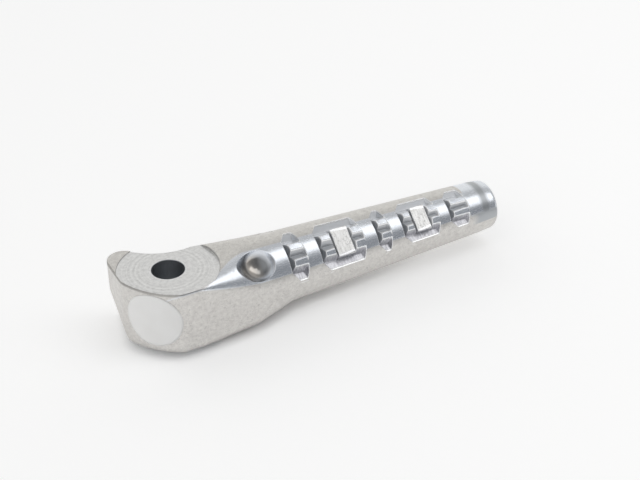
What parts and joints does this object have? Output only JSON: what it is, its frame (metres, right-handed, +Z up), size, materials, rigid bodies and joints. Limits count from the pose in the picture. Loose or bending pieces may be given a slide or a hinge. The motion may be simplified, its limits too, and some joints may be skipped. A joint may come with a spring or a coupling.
{
  "type": "motorcycle footrest",
  "caption": "Cast aluminium rear footrest of a motorcycle: pivot boss with a stop heel, tapered round bar with a toothed and padded tread strip.",
  "frame": {"origin": "on the pivot bore's axis, half way between the two machined faces of the boss", "axes": "+X along the bar from the pivot to the tip, +Z up the pivot bore, +Y towards the stop heel"},
  "size_m": [0.1085, 0.0249, 0.0208],
  "materials": {
    "cast_aluminium": "satin as cast, with a polished tread strip and machined boss faces",
    "label_paper": "matt coated paper of the plain round label"
  },
  "bodies": {
    "root": {"footrest_casting": "cast_aluminium"}
  },
  "joints": []
}
